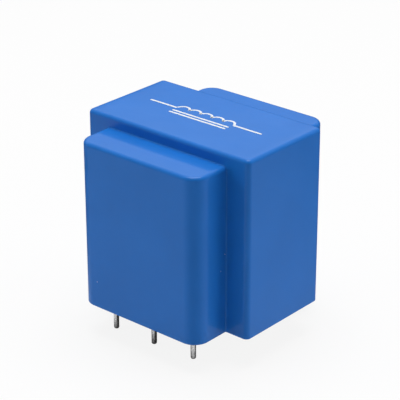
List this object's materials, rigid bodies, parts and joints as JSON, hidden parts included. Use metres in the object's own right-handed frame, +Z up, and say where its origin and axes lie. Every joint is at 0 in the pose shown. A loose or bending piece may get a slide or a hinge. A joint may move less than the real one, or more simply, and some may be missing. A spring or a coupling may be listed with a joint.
{
  "type": "audio inductor",
  "caption": "Potted audio inductor: blue moulded case, a block with a lower round-cornered bulge front and rear over the coil, on rows of round solder pins for a circuit board.",
  "frame": {"origin": "centre of the pin pattern on the seating plane, which is the foot of the case", "axes": "+Z up out of the circuit board, +X along the rows of pins and the long side of the main block, -Y to the row with the soldered leads"},
  "size_m": [0.03, 0.029, 0.0321],
  "materials": {
    "case_plastic": "satin gloss moulded blue",
    "resin": "cast, dark",
    "former_plastic": "moulded, natural",
    "enamelled_copper": "enamelled copper wire",
    "tape": "polyester tape",
    "core_steel": "stacked sheet edges",
    "spacer": "pressed insulating paper",
    "tinned_wire": "dull tinned",
    "solder": "solder"
  },
  "bodies": {
    "root": {"case": "case_plastic", "potting_resin": "resin", "bobbin": "former_plastic", "winding": "enamelled_copper", "winding_tape": "tape", "core_e": "core_steel", "core_i": "core_steel", "gap_spacer": "spacer", "pin_1": "tinned_wire", "pin_2": "tinned_wire", "pin_3": "tinned_wire", "pin_4": "tinned_wire", "pin_5": "tinned_wire", "pin_6": "tinned_wire", "lead_start": "enamelled_copper", "lead_finish": "enamelled_copper", "solder_start": "solder", "solder_finish": "solder"}
  },
  "joints": []
}
